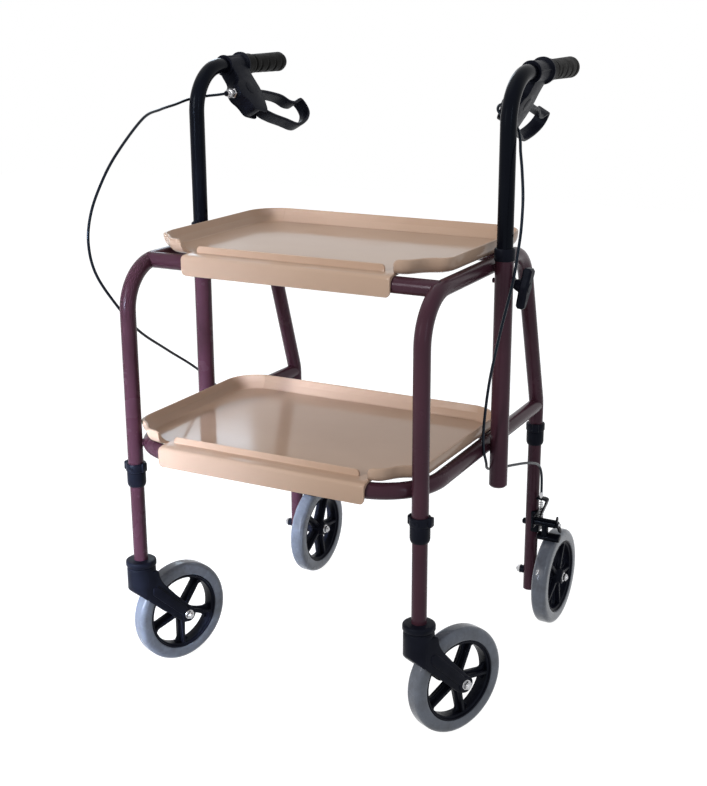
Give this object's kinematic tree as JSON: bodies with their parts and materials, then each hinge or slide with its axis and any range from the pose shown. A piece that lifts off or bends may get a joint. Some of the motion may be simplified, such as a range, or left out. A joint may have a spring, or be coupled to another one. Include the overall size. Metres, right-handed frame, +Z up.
{
  "type": "trolley walker",
  "caption": "Four-wheeled indoor walker of bent tube with two lift-off trays, height-adjustable handles with loop brakes, telescopic legs and swivelling front castors.",
  "frame": {"origin": "on the floor, midway between the clamp knobs and midway between the lower tray's front and the rear tyres' back", "axes": "+Z up, -Y to the front (castor end), +X to the right of a user who stands behind the handles"},
  "size_m": [0.5679, 0.549, 0.8753],
  "materials": {
    "frame_paint": "gloss burgundy-brown powder coat",
    "black_paint": "semi-gloss black",
    "black_plastic": "moulded black",
    "grip_rubber": "soft matt black",
    "cable_sheath": "smooth black sheath",
    "bright_steel": "bright zinc plate",
    "tray_plastic": "glossy beige moulding",
    "tyre_grey": "smooth bluish grey"
  },
  "bodies": {
    "frame": {"side_frame_left": "frame_paint", "side_frame_right": "frame_paint", "upper_front_crossbar": "frame_paint", "upper_rear_crossbar": "frame_paint", "lower_shelf_frame": "frame_paint", "lower_rear_crossbar": "frame_paint", "handle_post_left": "frame_paint", "handle_post_right": "frame_paint", "post_bush_left": "black_plastic", "post_bush_right": "black_plastic", "front_collar_left": "black_plastic", "front_collar_right": "black_plastic", "rear_collar_left": "black_plastic", "rear_collar_right": "black_plastic", "brake_cable_left": "cable_sheath", "brake_cable_right": "cable_sheath"},
    "upper_tray": {"upper_tray": "tray_plastic"},
    "lower_tray": {"lower_tray": "tray_plastic"},
    "handle_left": {"handle_tube_left": "black_paint", "grip_left": "grip_rubber", "brake_housing_left": "black_plastic", "lever_pivot_left": "black_plastic", "cable_adjuster_left": "bright_steel"},
    "brake_lever_left": {"brake_lever_left": "black_plastic"},
    "clamp_knob_left": {"clamp_knob_left": "black_plastic"},
    "front_leg_left": {"front_leg_left": "frame_paint", "castor_cap_left": "black_plastic"},
    "castor_left": {"castor_fork_left": "black_plastic", "front_axle_left": "bright_steel"},
    "front_wheel_left": {"front_hub_left": "black_plastic", "front_tyre_left": "tyre_grey"},
    "rear_leg_left": {"rear_leg_left": "frame_paint", "rear_axle_left": "bright_steel", "brake_bracket_left": "black_paint", "brake_spring_left": "bright_steel"},
    "rear_wheel_left": {"rear_hub_left": "black_plastic", "rear_tyre_left": "tyre_grey"},
    "brake_arm_left": {"brake_arm_left": "black_paint"},
    "handle_right": {"handle_tube_right": "black_paint", "grip_right": "grip_rubber", "brake_housing_right": "black_plastic", "lever_pivot_right": "black_plastic", "cable_adjuster_right": "bright_steel"},
    "brake_lever_right": {"brake_lever_right": "black_plastic"},
    "clamp_knob_right": {"clamp_knob_right": "black_plastic"},
    "front_leg_right": {"front_leg_right": "frame_paint", "castor_cap_right": "black_plastic"},
    "castor_right": {"castor_fork_right": "black_plastic", "front_axle_right": "bright_steel"},
    "front_wheel_right": {"front_hub_right": "black_plastic", "front_tyre_right": "tyre_grey"},
    "rear_leg_right": {"rear_leg_right": "frame_paint", "rear_axle_right": "bright_steel", "brake_bracket_right": "black_paint", "brake_spring_right": "bright_steel"},
    "rear_wheel_right": {"rear_hub_right": "black_plastic", "rear_tyre_right": "tyre_grey"},
    "brake_arm_right": {"brake_arm_right": "black_paint"}
  },
  "joints": [
    {"name": "upper_tray_lift", "type": "slide", "parent": "frame", "child": "upper_tray", "axis": [0, 0, 1], "range_m": [0, 0.05]},
    {"name": "lower_tray_lift", "type": "slide", "parent": "frame", "child": "lower_tray", "axis": [0, 0, 1], "range_m": [0, 0.05]},
    {"name": "handle_height_left", "type": "slide", "parent": "frame", "child": "handle_left", "axis": [0, 0, 1], "range_m": [-0.04, 0.08], "deforming": ["brake_cable_left"]},
    {"name": "brake_lever_left", "type": "hinge", "parent": "handle_left", "child": "brake_lever_left", "pos_m": [-0.22058, 0.06995, 0.81789], "axis": [0.866, 0, 0.5], "range_deg": [0, 12], "stiffness_Nm_per_rad": 1.2},
    {"name": "clamp_knob_left", "type": "hinge", "parent": "frame", "child": "clamp_knob_left", "pos_m": [-0.26758, -0.02605, 0.588], "axis": [1, 0, 0], "continuous": true},
    {"name": "front_leg_height_left", "type": "slide", "parent": "frame", "child": "front_leg_left", "axis": [0, 0, 1], "range_m": [-0.025, 0]},
    {"name": "castor_swivel_left", "type": "hinge", "parent": "front_leg_left", "child": "castor_left", "pos_m": [-0.222, -0.23805, 0.15], "axis": [0, 0, 1], "continuous": true},
    {"name": "front_wheel_spin_left", "type": "hinge", "parent": "castor_left", "child": "front_wheel_left", "pos_m": [-0.20045, -0.17885, 0.075], "axis": [0.9397, -0.342, 0], "continuous": true},
    {"name": "rear_leg_height_left", "type": "slide", "parent": "frame", "child": "rear_leg_left", "axis": [0, 0, 1], "range_m": [-0.025, 0], "deforming": ["brake_cable_left"]},
    {"name": "rear_wheel_spin_left", "type": "hinge", "parent": "rear_leg_left", "child": "rear_wheel_left", "pos_m": [-0.1754, 0.19495, 0.075], "axis": [1, 0, 0], "continuous": true},
    {"name": "brake_arm_left", "type": "hinge", "parent": "rear_leg_left", "child": "brake_arm_left", "pos_m": [-0.185, 0.16895, 0.172], "axis": [1, 0, 0], "range_deg": [0, 6], "deforming": ["brake_spring_left"]},
    {"name": "handle_height_right", "type": "slide", "parent": "frame", "child": "handle_right", "axis": [0, 0, 1], "range_m": [-0.04, 0.08], "deforming": ["brake_cable_right"]},
    {"name": "brake_lever_right", "type": "hinge", "parent": "handle_right", "child": "brake_lever_right", "pos_m": [0.22058, 0.06995, 0.81789], "axis": [0.866, 0, -0.5], "range_deg": [0, 12], "stiffness_Nm_per_rad": 1.2},
    {"name": "clamp_knob_right", "type": "hinge", "parent": "frame", "child": "clamp_knob_right", "pos_m": [0.26758, -0.02605, 0.588], "axis": [1, 0, 0], "continuous": true},
    {"name": "front_leg_height_right", "type": "slide", "parent": "frame", "child": "front_leg_right", "axis": [0, 0, 1], "range_m": [-0.025, 0]},
    {"name": "castor_swivel_right", "type": "hinge", "parent": "front_leg_right", "child": "castor_right", "pos_m": [0.222, -0.23805, 0.15], "axis": [0, 0, 1], "continuous": true},
    {"name": "front_wheel_spin_right", "type": "hinge", "parent": "castor_right", "child": "front_wheel_right", "pos_m": [0.24862, -0.18095, 0.075], "axis": [0.9063, -0.4226, 0], "continuous": true},
    {"name": "rear_leg_height_right", "type": "slide", "parent": "frame", "child": "rear_leg_right", "axis": [0, 0, 1], "range_m": [-0.025, 0], "deforming": ["brake_cable_right"]},
    {"name": "rear_wheel_spin_right", "type": "hinge", "parent": "rear_leg_right", "child": "rear_wheel_right", "pos_m": [0.2546, 0.19495, 0.075], "axis": [1, 0, 0], "continuous": true},
    {"name": "brake_arm_right", "type": "hinge", "parent": "rear_leg_right", "child": "brake_arm_right", "pos_m": [0.245, 0.16895, 0.172], "axis": [1, 0, 0], "range_deg": [0, 6], "deforming": ["brake_spring_right"]}
  ],
  "couplings": [
    {"joint": "brake_arm_left", "follows": "brake_lever_left", "ratio": 0.5},
    {"joint": "brake_arm_right", "follows": "brake_lever_right", "ratio": 0.5}
  ]
}
